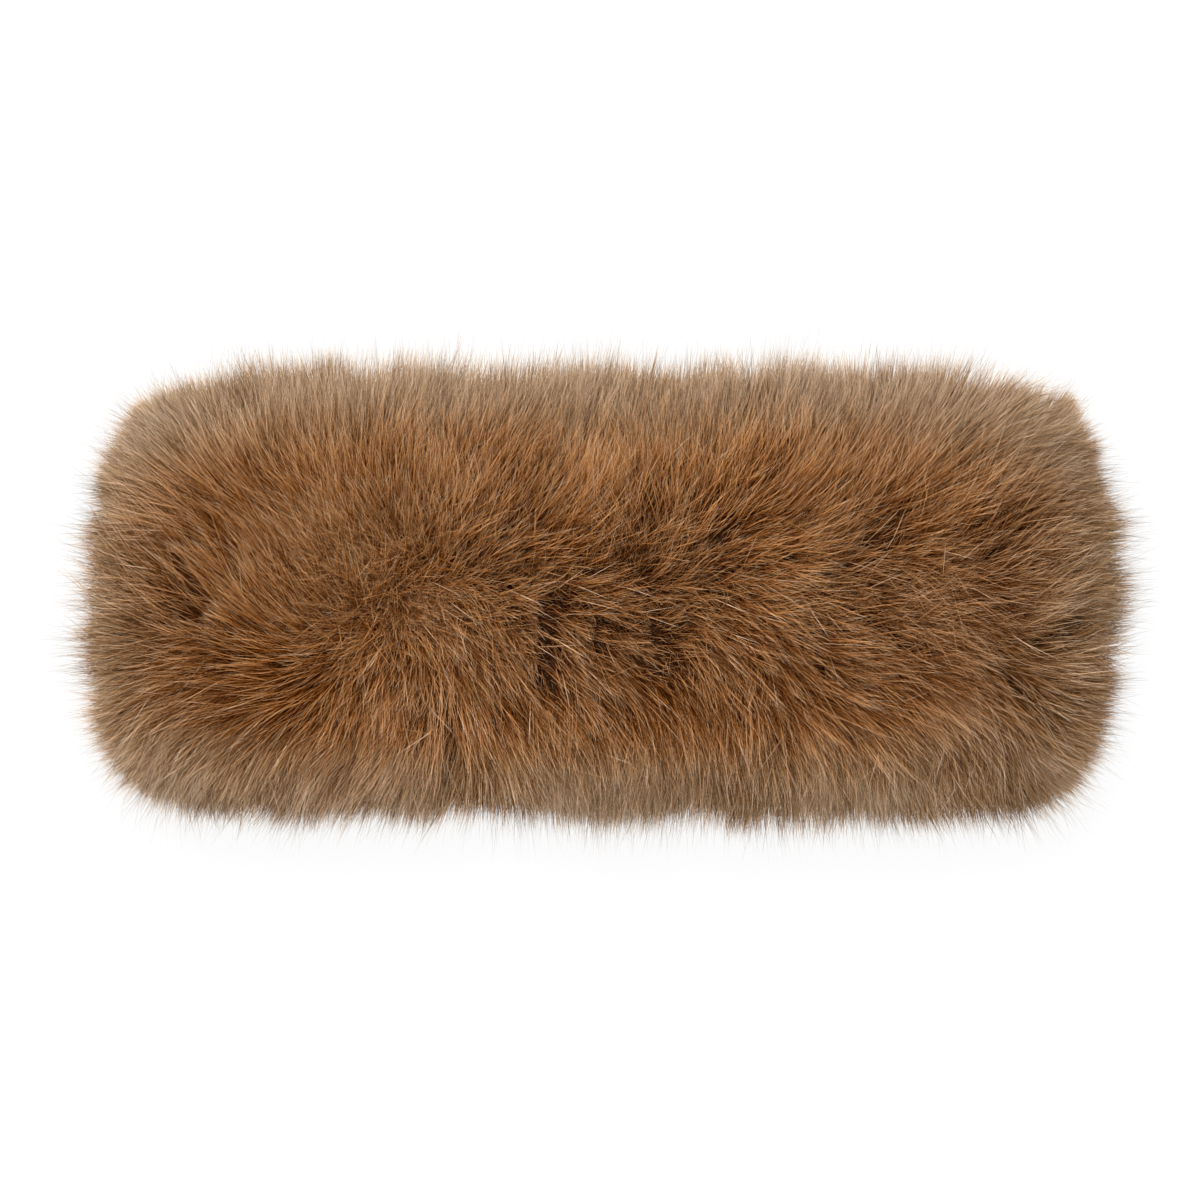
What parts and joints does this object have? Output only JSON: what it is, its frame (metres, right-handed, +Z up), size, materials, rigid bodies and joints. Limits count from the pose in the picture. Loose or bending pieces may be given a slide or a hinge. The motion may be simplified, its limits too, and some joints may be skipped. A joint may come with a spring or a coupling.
{
  "type": "fur head wrap",
  "caption": "Deep fur head wrap: a slip-on loop of long-haired fur cloth, lying flat, with an open hollow for the head.",
  "frame": {"origin": "under the middle of the wrap, on the surface that it lies on", "axes": "+X along the wrap from fold to fold, +Y across it from rim to rim, +Z up out of the surface"},
  "size_m": [0.2926, 0.1308, 0.0604],
  "materials": {
    "backing": "matte knitted ground cloth, brown",
    "fur": "long soft fur pile, warm brown with pale tips"
  },
  "bodies": {
    "root": {"backing_band": "backing", "fur_pile": "fur"}
  },
  "joints": []
}
